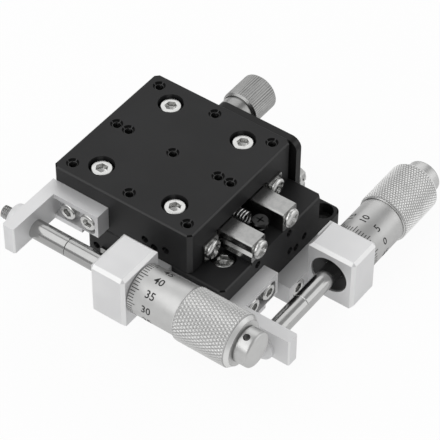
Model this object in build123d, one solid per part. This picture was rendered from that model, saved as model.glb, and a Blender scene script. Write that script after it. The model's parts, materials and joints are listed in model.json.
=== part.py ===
from build123d import *
from math import pi, sqrt
import os

# Two-axis linear stage on crossed rollers, driven by two micrometer heads.
# Both axes are the same unit: the lower one is turned a quarter turn about Z.
# Unit frame: X is the travel, Z = 0 is the top face of the plate that carries
# the unit, the micrometer stands on the -Y side and the lock on the +Y side.

# Plates, in millimetres; fit is the clearance of a piece in its seat or hole,
# over is how far a cutting shape reaches past the face that it opens
plate_side = 60.0
base_height = 8.3
slider_height = 18.1
running_gap = 0.5
corner_chamfer = 1.5
corner_radius = 3.0
edge_chamfer = 0.5
fit = 0.05
over = 1.0

# Travel of each axis, and how far each slider is parked from its centre
travel = 26.0
park = 14.0

# Crossed roller rails and their cages
rail_width = 8.0
rail_height = 8.5
rail_lift = 0.9
rail_gap = 1.6
rail_spread = 5.4
rail_chamfer = 0.5
rail_proud = 1.0
roller_diameter = 3.0
roller_pitch = 5.0
roller_slack = 0.1
groove_slack = 0.03
groove_relief = 0.4
cage_end_gap = 0.5
cage_height = 6.6
cage_thickness = 1.0
window_slack = 0.15
ceiling_relief = 0.6
pad_inset = 0.3

# Screws that hold the rails
cap_head_diameter = 8.0
cap_head_height = 4.4
cap_shank = 4.0
cap_sink = 0.6
cap_bore_diameter = 9.6
cap_along = 16.0
cap_across = 20.0
cap_grip = 6.0
under_head_diameter = 5.5
under_head_height = 3.0
under_shank = 3.0
under_bore_diameter = 6.2
under_sink = 0.4
under_along = 10.0
under_grip = 4.5
end_head_diameter = 7.4
end_head_height = 1.9
end_shank = 3.0
end_grip = 6.0

# What all screws share: a bevelled rim, and a recess sized as a share of the head
head_bevel = 0.5
recess_width = 0.5
recess_depth = 0.5
cross_blade = 0.15

# Mounting holes
table_tap = 3.3
table_tap_depth = 7.0
table_tap_rim = 4.7
mount_half = 25.0
table_extra = 19.75
base_hole = 4.5
base_bore = 8.0
base_bore_depth = 4.5

# Tapped holes in the sides that this build leaves empty
side_tap = 3.0
side_tap_depth = 5.0
spare_along = 14.4
spare_height = 4.4
end_tap_across = 9.5
end_tap_drop = 2.9
wall_tap_across = 25.5
wall_tap_height = 8.3

# Return spring, its post on the carrier and its anchor in the slider
post_along = 24.0
anchor_along = 15.0
post_shank = 3.4
post_head_diameter = 6.5
post_head_height = 1.9
post_head_top = 8.1
post_grip = 5.0
spring_height = 5.4
spring_diameter = 5.4
spring_wire = 0.8
spring_coil_pitch = 4.0
spring_neck = 3.2

# Push bracket, anvil pin and lock nut
bracket_top = 12.0
bracket_bottom = 0.1
bracket_end = 5.5
leg_thickness = 6.0
arm_thickness = 5.0
arm_reach = 28.0
bracket_chamfer = 0.5
pocket_depth = 3.2
pocket_rim = 2.0
pocket_end_wall = 1.4
pocket_corner = 2.0
pocket_step = 12.7
pocket_step_rise = 1.8
bracket_screw_near = 10.4
bracket_screw_far = 19.4
bracket_head_diameter = 6.6
bracket_head_height = 2.6
bracket_shank = 4.0
bracket_grip = 5.5
pin_diameter = 7.2
pin_thread = 5.0
pin_tail = 9.5
nut_diameter = 10.0
nut_thickness = 3.0
nut_bevel = 0.9
slot_width = 1.0
slot_depth = 1.2

# Micrometer head: the spindle's axis from the side face and above Z = 0
axis_out = 16.5
axis_up = 3.4
spindle_reach = 17.3
screw_diameter = 6.0
screw_start = 4.0
holder_length = 14.5
holder_gap = 7.5
holder_out = 26.9
holder_top = 14.3
holder_chamfer = 1.2
barrel_diameter = 15.0
barrel_recess = 3.5
barrel_end_gap = 2.65
barrel_bore_slack = 0.2
barrel_nut_length = 6.0
barrel_nut_step = 0.3
barrel_nut_wall = 1.2
ring_wall = 1.5
ring_sink = 0.8
thimble_slack = 0.3
thimble_sleeve = 0.8
thimble_rise = 0.65
thimble_front_gap = 0.25
smooth_length = 19.3
grip_rise = 0.9
grip_length = 23.1
grip_front_chamfer = 0.6
grip_rear_chamfer = 2.0
grip_rear_drop = 1.6
small_bevel = 0.3
thimble_wall = 2.0
neck_diameter = 12.4
neck_length = 1.3
cap_diameter = 13.5
cap_length = 4.4
cap_rounding = 1.2
cap_stub = 5.0
cap_hole = 1.5
set_screw = 3.0
set_screw_sink = 0.75
set_screw_gap = 0.2

# Lock plate and lock knob
lock_length = 36.0
lock_top = 17.6
lock_thickness = 3.0
lock_clearance = 0.4
lock_radius = 4.0
lock_screw_inset = 3.5
lock_head_diameter = 7.0
lock_head_height = 2.4
lock_shank = 3.0
lock_grip = 6.0
knob_height = 9.1
knob_screw = 4.0
knob_screw_depth = 5.5
knob_slack = 0.3
knob_collar = 13.0
knob_collar_length = 6.1
knob_diameter = 14.9
knob_length = 13.7
knob_ridge_pitch = 1.06
knob_ridge_depth = 0.35
knob_chamfer = 0.8
knob_gap = 0.2

# The two micrometer holders differ in where they stand and in their ears.
# A screw is (shank, head diameter, head height, grip).
# An ear is (length, thickness, drop of its top, screw).
small_screw = (3.0, 5.5, 3.0, 7.0)
large_screw = (4.0, 7.0, 4.0, 8.0)
upper_holder_start = -6.6
lower_holder_start = -3.0
upper_ear = (20.0, 4.5, 2.6, small_screw)
lower_ear = (11.0, 7.6, 0.0, large_screw)
ear_floor = 1.5
ear_screw_pitch = 10.0

# Worked out from the values above
half = plate_side / 2
lock_screw_along = lock_length / 2 - lock_screw_inset
pitch = running_gap + slider_height
rail_top = rail_lift + rail_height
rail_middle = rail_lift + rail_height / 2
inner_face = rail_spread + rail_width
roller_line = inner_face + rail_gap / 2
outer_face = inner_face + rail_gap
channel_half = outer_face + rail_width
relief_top = rail_top + ceiling_relief
inner_centre = rail_spread + rail_width / 2
outer_centre = outer_face + rail_width / 2
side_drop = base_height / 2
cage_length = plate_side - park - 2 * cage_end_gap
bracket_middle = (bracket_top + bracket_bottom) / 2
cap_floor = pitch - cap_sink - cap_head_height
barrel_nut_diameter = barrel_diameter - 2 * barrel_nut_step
barrel_nut_seat = barrel_nut_diameter - 2 * barrel_nut_wall
ring_bore = barrel_diameter - 2 * ring_wall
thimble_bore = barrel_diameter + 2 * thimble_slack
thimble_seat = thimble_bore + 2 * thimble_sleeve
thimble_diameter = thimble_seat + 2 * thimble_rise
grip_diameter = thimble_diameter + 2 * grip_rise
axis_y = -half - axis_out
far = 2 * plate_side


def box(x, y, z):
    """A box between three pairs of low and high values."""
    size = [abs(high - low) for low, high in (x, y, z)]
    middle = [(low + high) / 2 for low, high in (x, y, z)]
    return Pos(*middle) * Box(*size)


def rod(direction, radius, start, end, at):
    """A cylinder along X, Y or Z from start to end; at holds the two other coordinates."""
    low = min(start, end)
    turn = {"X": Rot(0, 90, 0), "Y": Rot(-90, 0, 0), "Z": Rot(0, 0, 0)}[direction]
    a, b = at
    place = {"X": Pos(low, a, b), "Y": Pos(a, low, b), "Z": Pos(a, b, low)}[direction]
    align = (Align.CENTER, Align.CENTER, Align.MIN)
    return place * turn * Cylinder(radius, abs(end - start), align=align)


def turned(points):
    """A solid of revolution about X from a closed profile of (x, radius) points."""
    return revolve(make_face(Polyline(*points, close=True)), Axis.X)


def prism(points, start, end):
    """A closed outline of (y, z) points, carried along X from start to end."""
    outline = [(0, y, z) for y, z in points]
    face = make_face(Polyline(*outline, close=True))
    return Pos(start, 0, 0) * extrude(face, amount=end - start, dir=(1, 0, 0))


def both_sides(shape):
    """The shape and its mirror image on the other side of the travel's middle plane."""
    return [shape, mirror(shape, about=Plane.XZ)]


def hex_socket(across, depth):
    """A hexagonal key hole that opens upwards at Z = 0."""
    return Pos(0, 0, -depth) * extrude(RegularPolygon(across / sqrt(3), 6), amount=depth)


def cross_recess(width, depth):
    """A crosshead driver's recess that opens upwards at Z = 0."""
    one = Box(width, cross_blade * width, depth, align=(Align.CENTER, Align.CENTER, Align.MAX))
    return one + Rot(0, 0, 90) * one


def screw(head_diameter, head_height, shank, length, cross=False):
    """A screw that stands on Z = 0 with its head above and its shank below."""
    head = rod("Z", head_diameter / 2, 0, head_height, (0, 0))
    head = chamfer(head.edges().group_by(Axis.Z)[-1], min(head_bevel, head_height / 4))
    body = head + rod("Z", shank / 2, -length, 0, (0, 0))
    recess = cross_recess if cross else hex_socket
    cut = recess(recess_width * head_diameter, recess_depth * head_height)
    return body - Pos(0, 0, head_height) * cut


def plate(low, high, rounded):
    """A square plate with finished upright corners and a light chamfer round its top."""
    body = box((-half, half), (-half, half), (low, high))
    upright = body.edges().filter_by(Axis.Z)
    if rounded:
        body = fillet(upright, corner_radius)
    else:
        body = chamfer(upright, corner_chamfer)
    return chamfer(body.faces().sort_by(Axis.Z)[-1].edges(), edge_chamfer)


# Hole patterns

def cap_points():
    return [(x, y) for x in (-cap_along, cap_along) for y in (-cap_across, cap_across)]


def under_points():
    return [(x, y) for x in (-under_along, under_along) for y in (-inner_centre, inner_centre)]


def grid_points():
    spots = (-mount_half, 0, mount_half)
    grid = [(x, y) for x in spots for y in spots]
    return grid + [(-table_extra, 0), (table_extra, 0)]


# Plates

def slider_body():
    """The upside-down U that runs on one unit's rails, before its top is finished."""
    body = plate(running_gap, pitch, False)
    body -= box((-far, far), (-channel_half, channel_half), (0, rail_top))
    body -= box((-far, far), (-outer_face, outer_face), (0, relief_top))
    for x, y in cap_points():
        body -= rod("Z", cap_bore_diameter / 2, cap_floor, pitch + over, (x, y))
        body -= rod("Z", cap_shank / 2 + fit, rail_top - over, cap_floor + over, (x, y))
    for x in (-bracket_screw_far, -bracket_screw_near):
        hole = bracket_shank / 2 + fit
        body -= rod("Y", hole, -half - over, -half + bracket_grip + fit, (x, bracket_middle))
    for x in (bracket_screw_near, bracket_screw_far):
        body -= rod("Y", side_tap / 2, -half - over, side_tap_depth - half, (x, bracket_middle))
    body -= rod("Y", side_tap / 2, -half - over, side_tap_depth - half, (spare_along, spare_height))
    body -= rod("X", side_tap / 2, -half - over, side_tap_depth - half, (wall_tap_across, wall_tap_height))
    body -= rod("Y", knob_screw / 2 + fit, half - knob_screw_depth - fit, half + over, (0, knob_height))
    body -= rod("Z", post_shank / 2 + fit, relief_top - over, relief_top + post_grip + fit, (-anchor_along, 0))
    return body


def carrier_pad():
    """The low land on the carrying plate that the inner rails stand on."""
    edge = inner_face - pad_inset
    return box((-half, half), (-edge, edge), (-2 * edge_chamfer, rail_lift))


def carrier_cuts(unit):
    """Everything that one unit's fixed pieces need cut in the plate that carries them."""
    cuts = [rod("Z", post_shank / 2 + fit, -post_grip - fit, rail_lift + over, (post_along, 0))]
    for x, y in under_points():
        head_floor = under_sink + under_head_height - unit["deck"]
        cuts.append(rod("Z", under_bore_diameter / 2, -unit["deck"] - fit, head_floor, (x, y)))
        cuts.append(rod("Z", under_shank / 2 + fit, head_floor - over, rail_lift + over, (x, y)))
    for x in (-lock_screw_along, lock_screw_along):
        cuts.append(rod("Y", lock_shank / 2 + fit, half - lock_grip - fit, half + over, (x, -side_drop)))
    for x, z, shank, grip in ear_screws(unit):
        cuts.append(rod("Y", shank / 2 + fit, -half - over, -half + grip + fit, (x, z)))
    for y in (-end_tap_across, end_tap_across):
        cuts.append(rod("X", side_tap / 2, half - side_tap_depth, half + over, (y, -end_tap_drop)))
    return cuts


def base_plate():
    """The bottom plate, with its land, its counterbored corner holes and the unit's cuts."""
    body = plate(-base_height, 0, True) + carrier_pad()
    for cut in carrier_cuts(lower):
        body -= cut
    for x in (-mount_half, mount_half):
        for y in (-mount_half, mount_half):
            body -= rod("Z", base_hole / 2, -base_height - over, over, (x, y))
            body -= rod("Z", base_bore / 2, -base_bore_depth, over, (x, y))
    return lower["carrier"] * body


def middle_plate():
    """One block: the lower unit's slider below, the upper unit's carrier on top."""
    body = lower["slider"] * slider_body()
    body += upper["carrier"] * carrier_pad()
    for x, y in cap_points():
        body -= lower["slider"] * rod("Z", cap_bore_diameter / 2, cap_floor, pitch + far, (x, y))
    for cut in carrier_cuts(upper):
        body -= upper["carrier"] * cut
    return body


def table_plate():
    """The top plate with its grid of tapped mounting holes."""
    body = slider_body()
    rim = (table_tap_rim - table_tap) / 2
    downwards = (Align.CENTER, Align.CENTER, Align.MAX)
    countersink = Cone(table_tap / 2, table_tap_rim / 2 + fit, rim + fit, align=downwards)
    for x, y in grid_points():
        body -= rod("Z", table_tap / 2, pitch - table_tap_depth, pitch + over, (x, y))
        body -= Pos(x, y, pitch + fit) * countersink
    return upper["slider"] * body


# Crossed roller guide

def rail_outline(back, face):
    """A rail's section: its back, its chamfered corners and the right-angled groove in its face."""
    way = 1 if face > back else -1
    apex = roller_line - way * (roller_diameter / sqrt(2) + groove_slack)
    mouth = abs(face - apex)
    low = [
        (back, rail_lift + rail_chamfer),
        (back + way * rail_chamfer, rail_lift),
        (face - way * rail_chamfer, rail_lift),
        (face, rail_lift + rail_chamfer),
        (face, rail_middle - mouth),
        (apex + way * groove_relief, rail_middle - groove_relief),
        (apex - way * groove_relief, rail_middle - groove_relief),
    ]
    high = [(y, 2 * rail_middle - z) for y, z in reversed(low)]
    return low + high


def inner_rails():
    """The two rails on the carrier, with blind holes for the screws that hold them."""
    rail = prism(rail_outline(rail_spread, inner_face), -half, half)
    for x in (-under_along, under_along):
        rail -= rod("Z", under_shank / 2 + fit, 0, rail_lift + under_grip + fit, (x, inner_centre))
    for way in (-1, 1):
        ends = (way * (half + over), way * (half - end_grip - fit))
        rail -= rod("X", end_shank / 2 + fit, *ends, (inner_centre, rail_middle))
    return both_sides(rail)


def outer_rails():
    """The two rails in the slider, which stand a little proud of its ends."""
    reach = half + rail_proud
    rail = prism(rail_outline(channel_half, outer_face), -reach, reach)
    for x in (-cap_along, cap_along):
        rail -= rod("Z", cap_shank / 2 + fit, rail_top - cap_grip - fit, rail_top + over, (x, cap_across))
    for way in (-1, 1):
        ends = (way * (reach + over), way * (reach - end_grip - fit))
        rail -= rod("X", end_shank / 2 + fit, *ends, (outer_centre, rail_middle))
    return both_sides(rail)


def roller_places():
    count = int((cage_length - roller_pitch) // roller_pitch) + 1
    return [(i - (count - 1) / 2) * roller_pitch for i in range(count)]


def rollers():
    """Rollers whose axes lean one way and the other by turns, a quarter turn apart."""
    length = roller_diameter - roller_slack
    solids = []
    for i, x in enumerate(roller_places()):
        lean = 45 if i % 2 else -45
        roller = Pos(x, roller_line, rail_middle) * Rot(lean, 0, 0) * Cylinder(roller_diameter / 2, length)
        solids += both_sides(roller)
    return solids


def roller_cages():
    """The thin strips that keep the rollers apart, one window for each."""
    y = (roller_line - cage_thickness / 2, roller_line + cage_thickness / 2)
    z = (rail_middle - cage_height / 2, rail_middle + cage_height / 2)
    cage = box((-cage_length / 2, cage_length / 2), y, z)
    wide = roller_diameter / 2 + window_slack
    high = roller_diameter / sqrt(2) + window_slack
    for x in roller_places():
        window = (rail_middle - high, rail_middle + high)
        cage -= box((x - wide, x + wide), (y[0] - over, y[1] + over), window)
    return both_sides(cage)


def end_screws(across, reach):
    """Crosshead screws in both ends of a pair of rails; they also stop the cages."""
    one = screw(end_head_diameter, end_head_height, end_shank, end_grip, cross=True)
    front = Pos(reach, across, rail_middle) * Rot(0, 90, 0) * one
    rear = Pos(-reach, across, rail_middle) * Rot(0, -90, 0) * one
    return both_sides(front) + both_sides(rear)


def outer_rail_screws():
    """Socket screws sunk in the slider's top that hold the outer rails from above."""
    one = screw(cap_head_diameter, cap_head_height, cap_shank, cap_floor - rail_top + cap_grip)
    return [Pos(x, y, cap_floor) * one for x, y in cap_points()]


def inner_rail_screws(unit):
    """Socket screws from below, sunk in the carrier, that hold the inner rails."""
    seat = under_sink + under_head_height - unit["deck"]
    length = rail_lift + under_grip - seat
    one = Rot(180, 0, 0) * screw(under_head_diameter, under_head_height, under_shank, length)
    return [Pos(x, y, seat) * one for x, y in under_points()]


# Return spring

def spring_post():
    """The screw on the carrier that holds one end of the spring."""
    seat = post_head_top - post_head_height
    one = screw(post_head_diameter, post_head_height, post_shank, seat + post_grip, cross=True)
    return Pos(post_along, 0, seat) * one


def spring_anchor():
    """The same screw, hanging from the slider's ceiling at the spring's other end."""
    seat = 2 * spring_height - (post_head_top - post_head_height)
    length = relief_top + post_grip - seat
    one = screw(post_head_diameter, post_head_height, post_shank, length, cross=True)
    return Pos(-anchor_along, 0, seat) * Rot(180, 0, 0) * one


def spring_hook(x, way):
    """An eye round the post at x, and its wire on to the coil: along the axis, then out to the turns."""
    wire = spring_wire / 2
    eye = post_shank / 2 + fit + wire
    mean = (spring_diameter - spring_wire) / 2
    bend = x + way * (eye + spring_neck)
    hook = Pos(x, 0, spring_height) * Torus(eye, wire)
    hook += rod("X", wire, x + way * eye, bend, (0, spring_height))
    hook += rod("Z", wire, spring_height - mean, spring_height, (bend, 0))
    for z in (spring_height - mean, spring_height):
        hook += Pos(bend, 0, z) * Sphere(wire + fit)
    return hook


def return_spring():
    """The extension spring, drawn out between the post and the anchor: two hooks and the coil."""
    wire = spring_wire / 2
    hook_length = post_shank / 2 + fit + wire + spring_neck
    ends = (-anchor_along - park, post_along)
    coil_length = ends[1] - ends[0] - 2 * hook_length
    mean = (spring_diameter - spring_wire) / 2
    turns = round(coil_length / spring_coil_pitch)
    path = Helix(coil_length / turns, coil_length, mean)
    start = Plane(origin=path @ 0, z_dir=path % 0)
    coil = sweep(start * RegularPolygon(wire, 6), path=path, is_frenet=True)
    spring = Pos(ends[0] + hook_length, 0, spring_height) * Rot(0, 90, 0) * coil
    return spring + spring_hook(ends[0], 1) + spring_hook(ends[1], -1)


# Push bracket and its anvil

def bracket_leg_cut():
    """The pocket round the two screws, with a rounded end and a stepped lower lip."""
    low = bracket_bottom + pocket_rim
    high = bracket_top - pocket_rim
    front = -half - leg_thickness
    start = -half + arm_thickness
    end = -bracket_end - pocket_end_wall
    pocket = box((start, end), (front - over, front + pocket_depth), (low, high))
    corner = min(pocket_corner, (high - low) / 3)
    pocket = fillet(pocket.edges().filter_by(Axis.Y).group_by(Axis.X)[-1], corner)
    notch = box((-pocket_step, far), (front - over, 0), (-far, bracket_bottom + pocket_step_rise))
    return [pocket, notch]


def push_bracket():
    """The angle on the slider's side: a leg with two screws and an arm for the anvil pin."""
    z = (bracket_bottom, bracket_top)
    leg = box((-half, -bracket_end), (-half - leg_thickness, -half), z)
    arm = box((-half, -half + arm_thickness), (-half - arm_reach, -half), z)
    body = leg + arm
    tips = body.edges().filter_by(Axis.Z).group_by(Axis.Y)[0]
    body = chamfer(tips, bracket_chamfer)
    for cut in bracket_leg_cut():
        body -= cut
    for x in (-bracket_screw_far, -bracket_screw_near):
        body -= rod("Y", bracket_shank / 2 + fit, -half - far, over - half, (x, bracket_middle))
    through = (-half - over, -half + arm_thickness + over)
    body -= rod("X", pin_thread / 2 + fit, *through, (axis_y, axis_up))
    return body


def bracket_screws():
    seat = -half - leg_thickness + pocket_depth
    length = bracket_grip - half - seat
    one = screw(bracket_head_diameter, bracket_head_height, bracket_shank, length)
    spots = (-bracket_screw_far, -bracket_screw_near)
    return [Pos(x, seat, bracket_middle) * Rot(90, 0, 0) * one for x in spots]


def pin_tip(unit):
    """Where anvil pin and spindle meet, from the slider's centre while it is parked."""
    return unit["holder"] - spindle_reach + park


def anvil_pin(unit):
    """The pin that the spindle pushes: a stout front, a thread through the arm, a driver's slot."""
    tail = -half - pin_tail
    face = -half + arm_thickness
    body = rod("X", pin_diameter / 2, face, pin_tip(unit), (axis_y, axis_up))
    body += rod("X", pin_thread / 2, tail, face, (axis_y, axis_up))
    slot_y = (axis_y - pin_thread, axis_y + pin_thread)
    slot_z = (axis_up - slot_width / 2, axis_up + slot_width / 2)
    return body - box((tail - over, tail + slot_depth), slot_y, slot_z)


def anvil_lock_nut():
    """The round nut that locks the pin against the arm."""
    nut = turned([
        (0, pin_thread / 2 + fit),
        (0, nut_diameter / 2),
        (nut_bevel - nut_thickness, nut_diameter / 2),
        (-nut_thickness, nut_diameter / 2 - nut_bevel),
        (-nut_thickness, pin_thread / 2 + fit),
    ])
    return Pos(-half, axis_y, axis_up) * nut


# Micrometer head and its holder

def ear_boxes(unit):
    """Each ear as (low x, high x, thickness, low z, high z, screw places, screw)."""
    rows = []
    for end, (length, thickness, drop, kind) in unit["ears"].items():
        low = unit["holder"] - length if end == "front" else unit["holder"] + holder_length
        count = max(1, round(length / ear_screw_pitch))
        first = low + (length - (count - 1) * ear_screw_pitch) / 2
        spots = [first + i * ear_screw_pitch for i in range(count)]
        rows.append((low, low + length, thickness, -base_height, -drop, spots, kind))
    return rows


def ear_screws(unit):
    """Each ear screw as (x, z, shank, grip)."""
    rows = []
    for low, high, thickness, bottom, top, spots, kind in ear_boxes(unit):
        rows += [(x, (bottom + top) / 2, kind[0], kind[3]) for x in spots]
    return rows


def ear_seat(thickness, kind):
    """How far a screw's head seats from the plate: flush with the ear, with metal under it."""
    return max(thickness - kind[2] - fit, ear_floor)


def micrometer_holder(unit):
    """The block that grips the barrel, and the ears that hold it to the plate."""
    x = (unit["holder"], unit["holder"] + holder_length)
    block = box(x, (-half - holder_out, -half - holder_gap), (-base_height, holder_top))
    edges = block.edges().group_by(Axis.Y)[0] + block.edges().group_by(Axis.Z)[-1]
    block = chamfer(edges, holder_chamfer)
    body = block + box(x, (-half - holder_gap - holder_chamfer, -half), (-base_height, 0))
    for low, high, thickness, bottom, top, spots, kind in ear_boxes(unit):
        body += box((low, high), (-half - thickness, -half), (bottom, top))
        for spot in spots:
            z = (bottom + top) / 2
            seat = -half - ear_seat(thickness, kind)
            body -= rod("Y", kind[0] / 2 + fit, -half - far, over - half, (spot, z))
            body -= rod("Y", kind[1] / 2 + 2 * fit, -half - far, seat, (spot, z))
    body -= rod("X", barrel_diameter / 2 + fit, x[0] - over, x[1] + over, (axis_y, axis_up))
    middle = (x[0] + x[1]) / 2
    body -= rod("Z", set_screw / 2 + fit, -base_height - over, axis_up, (middle, axis_y))
    return body


def holder_screws(unit):
    solids = []
    for low, high, thickness, bottom, top, spots, kind in ear_boxes(unit):
        seat = ear_seat(thickness, kind)
        one = screw(kind[1], kind[2], kind[0], seat + kind[3])
        place = Pos(0, -half - seat, (bottom + top) / 2) * Rot(90, 0, 0)
        solids += [Pos(x, 0, 0) * place * one for x in spots]
    return solids


def barrel_set_screw(unit):
    """The small headless screw under the holder that keeps the barrel from turning."""
    middle = unit["holder"] + holder_length / 2
    top = axis_up - sqrt((barrel_diameter / 2) ** 2 - (set_screw / 2) ** 2) - set_screw_gap
    low = set_screw_sink - base_height
    body = rod("Z", set_screw / 2, low, top, (middle, axis_y))
    return body - Pos(middle, axis_y, low) * Rot(180, 0, 0) * hex_socket(set_screw / 2, set_screw / 2)


def on_axis(unit, shape):
    """Puts a turned piece, drawn from the holder's rear face, on the micrometer's axis."""
    return Pos(unit["holder"] + holder_length, axis_y, axis_up) * shape


def thimble_end():
    """How far the thimble's rear face is from the holder's rear face."""
    return thimble_front_gap + smooth_length + grip_length


def barrel_end():
    """The barrel's rear end, inside the thimble and short of its end wall."""
    return thimble_end() - thimble_wall - barrel_end_gap


def barrel():
    """The fixed sleeve: a slide bore in front, the nut's thread at its stepped rear end."""
    front = barrel_recess - holder_length
    end = barrel_end()
    step = end - barrel_nut_length
    wide = pin_diameter / 2 + fit
    narrow = screw_diameter / 2 + fit
    bore_end = travel - screw_start + barrel_bore_slack
    return turned([
        (front, wide),
        (front, barrel_diameter / 2),
        (step, barrel_diameter / 2),
        (step, barrel_nut_seat / 2),
        (end, barrel_nut_seat / 2),
        (end, narrow),
        (bore_end, narrow),
        (bore_end, wide),
    ])


def adjusting_nut():
    """The ring on the barrel's rear end that takes up play in the thread."""
    end = barrel_end()
    start = end - barrel_nut_length
    seat = barrel_nut_seat / 2 + fit
    rim = barrel_nut_diameter / 2
    bevel = (rim - seat) / 2
    return turned([
        (start, seat),
        (start, rim),
        (end - bevel, rim),
        (end, rim - bevel),
        (end, seat),
    ])


def bore_ring():
    """The black ring inside the holder's mouth, in front of the barrel."""
    front = ring_sink - holder_length
    rear = barrel_recess - holder_length
    rim = barrel_diameter / 2
    bevel = (rear - front) / 4
    return turned([
        (front, ring_bore / 2 + bevel),
        (front, rim),
        (rear, rim),
        (rear, ring_bore / 2),
        (front + bevel, ring_bore / 2),
    ])


def spindle():
    """The measuring spindle, and the finer screw behind it that runs in the barrel."""
    tip = -holder_length - spindle_reach
    rear = thimble_end() - thimble_wall - thimble_front_gap
    edge = min(small_bevel, pin_diameter / 8)
    return turned([
        (tip, 0),
        (tip, pin_diameter / 2 - edge),
        (tip + edge, pin_diameter / 2),
        (-screw_start, pin_diameter / 2),
        (-screw_start, screw_diameter / 2),
        (rear, screw_diameter / 2),
        (rear, 0),
    ])


def thimble():
    """The drum that turns over the barrel: graduated front, turned-down seat for the grip."""
    front = thimble_front_gap
    step = front + smooth_length
    rear = thimble_end()
    edge = min(small_bevel, (thimble_diameter - thimble_bore) / 6)
    return turned([
        (front, thimble_bore / 2),
        (front, thimble_diameter / 2 - edge),
        (front + edge, thimble_diameter / 2),
        (step, thimble_diameter / 2),
        (step, thimble_seat / 2),
        (rear, thimble_seat / 2),
        (rear, cap_stub / 2 + fit),
        (rear - thimble_wall, cap_stub / 2 + fit),
        (rear - thimble_wall, thimble_bore / 2),
    ])


def thimble_grip():
    """The sleeve on the thimble that is held while turning it, bevelled at both ends."""
    front = thimble_front_gap + smooth_length + fit
    rear = thimble_end()
    inside = thimble_seat / 2 + fit
    outside = grip_diameter / 2
    drop = min(grip_rear_drop, outside - inside - fit)
    return turned([
        (front, inside),
        (front, outside - grip_front_chamfer),
        (front + grip_front_chamfer, outside),
        (rear - grip_rear_chamfer, outside),
        (rear, outside - drop),
        (rear, inside),
    ])


def thimble_cap():
    """The rounded cap that closes the thimble, with its neck, stub and cross hole."""
    rear = thimble_end()
    neck = rear + neck_length
    end = neck + cap_length
    edge = cap_diameter / 2
    profile = Polyline(
        (rear - thimble_wall, 0),
        (rear - thimble_wall, cap_stub / 2),
        (rear, cap_stub / 2),
        (rear, neck_diameter / 2),
        (neck, neck_diameter / 2),
        (neck, edge),
        (end - cap_rounding, edge),
    )
    corner = RadiusArc((end - cap_rounding, edge), (end, edge - cap_rounding), cap_rounding)
    back = Polyline((end, edge - cap_rounding), (end, 0), (rear - thimble_wall, 0))
    body = revolve(make_face(profile + corner + back), Axis.X)
    middle = neck + (cap_length - cap_rounding) / 2
    return body - rod("Z", cap_hole / 2, edge / 2, edge + over, (middle, 0))


# Lock

def lock_plate():
    """The slotted plate on the carrier's side; it stands clear of the slider it clamps."""
    inner = half + lock_clearance
    outer = inner + lock_thickness
    x = (-lock_length / 2, lock_length / 2)
    body = box(x, (inner, outer), (-base_height, lock_top))
    body = fillet(body.edges().filter_by(Axis.Y), lock_radius)
    foot = box((x[0] + lock_radius, x[1] - lock_radius), (half, inner), (-base_height, 0))
    body += foot
    slot = knob_screw / 2 + knob_slack
    low, high = -park, travel - park
    through = (half - over, outer + over)
    cut = box((low, high), through, (knob_height - slot, knob_height + slot))
    for end in (low, high):
        cut += rod("Y", slot, *through, (end, knob_height))
    body -= cut
    for spot in (-lock_screw_along, lock_screw_along):
        body -= rod("Y", lock_shank / 2 + fit, *through, (spot, -side_drop))
    return body


def lock_plate_screws():
    outer = half + lock_clearance + lock_thickness
    one = screw(lock_head_diameter, lock_head_height, lock_shank, outer - half + lock_grip, cross=True)
    spots = (-lock_screw_along, lock_screw_along)
    return [Pos(x, outer, -side_drop) * Rot(-90, 0, 0) * one for x in spots]


def knurled_disc(radius, depth, length):
    """A straight knurl: a ring of shallow teeth, carried along the knob's axis."""
    tooth = PolarLocations(radius - depth / 2, round(2 * pi * radius / knob_ridge_pitch))
    outline = Circle(radius - depth)
    size = depth + fit
    outline += [place * Polygon((-size, -size), (size, 0), (-size, size), align=None) for place in tooth]
    return extrude(outline, amount=length)


def lock_knob():
    """A polished collar, a straight-knurled head and the screw that they turn."""
    start = half + lock_clearance + lock_thickness + knob_gap
    shoulder = start + knob_collar_length
    end = shoulder + knob_length
    body = rod("Y", knob_screw / 2, half - knob_screw_depth, start + over, (0, knob_height))
    body += rod("Y", knob_collar / 2, start, shoulder, (0, knob_height))
    head = knurled_disc(knob_diameter / 2, knob_ridge_depth, knob_length)
    trim = turned([
        (0, 0),
        (0, knob_diameter / 2 - knob_chamfer),
        (knob_chamfer, knob_diameter / 2),
        (knob_length - knob_chamfer, knob_diameter / 2),
        (knob_length, knob_diameter / 2 - knob_chamfer),
        (knob_length, 0),
    ])
    head &= Rot(0, -90, 0) * trim
    body += Pos(0, shoulder, knob_height) * Rot(-90, 0, 0) * head
    return body


# Where the two units stand, and the ears in front of and behind each one's holder

upper = {
    "name": "x",
    "holder": upper_holder_start,
    "ears": {"rear": upper_ear},
    "deck": pitch - relief_top,
    "carrier": Pos(0, -park, base_height + pitch),
}
lower = {
    "name": "y",
    "holder": lower_holder_start,
    "ears": {"front": lower_ear, "rear": lower_ear},
    "deck": base_height,
    "carrier": Pos(0, 0, base_height) * Rot(0, 0, 90),
}
for unit in (upper, lower):
    unit["slider"] = unit["carrier"] * Pos(-park, 0, 0)
    unit["half way"] = unit["carrier"] * Pos(-park / 2, 0, 0)


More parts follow.
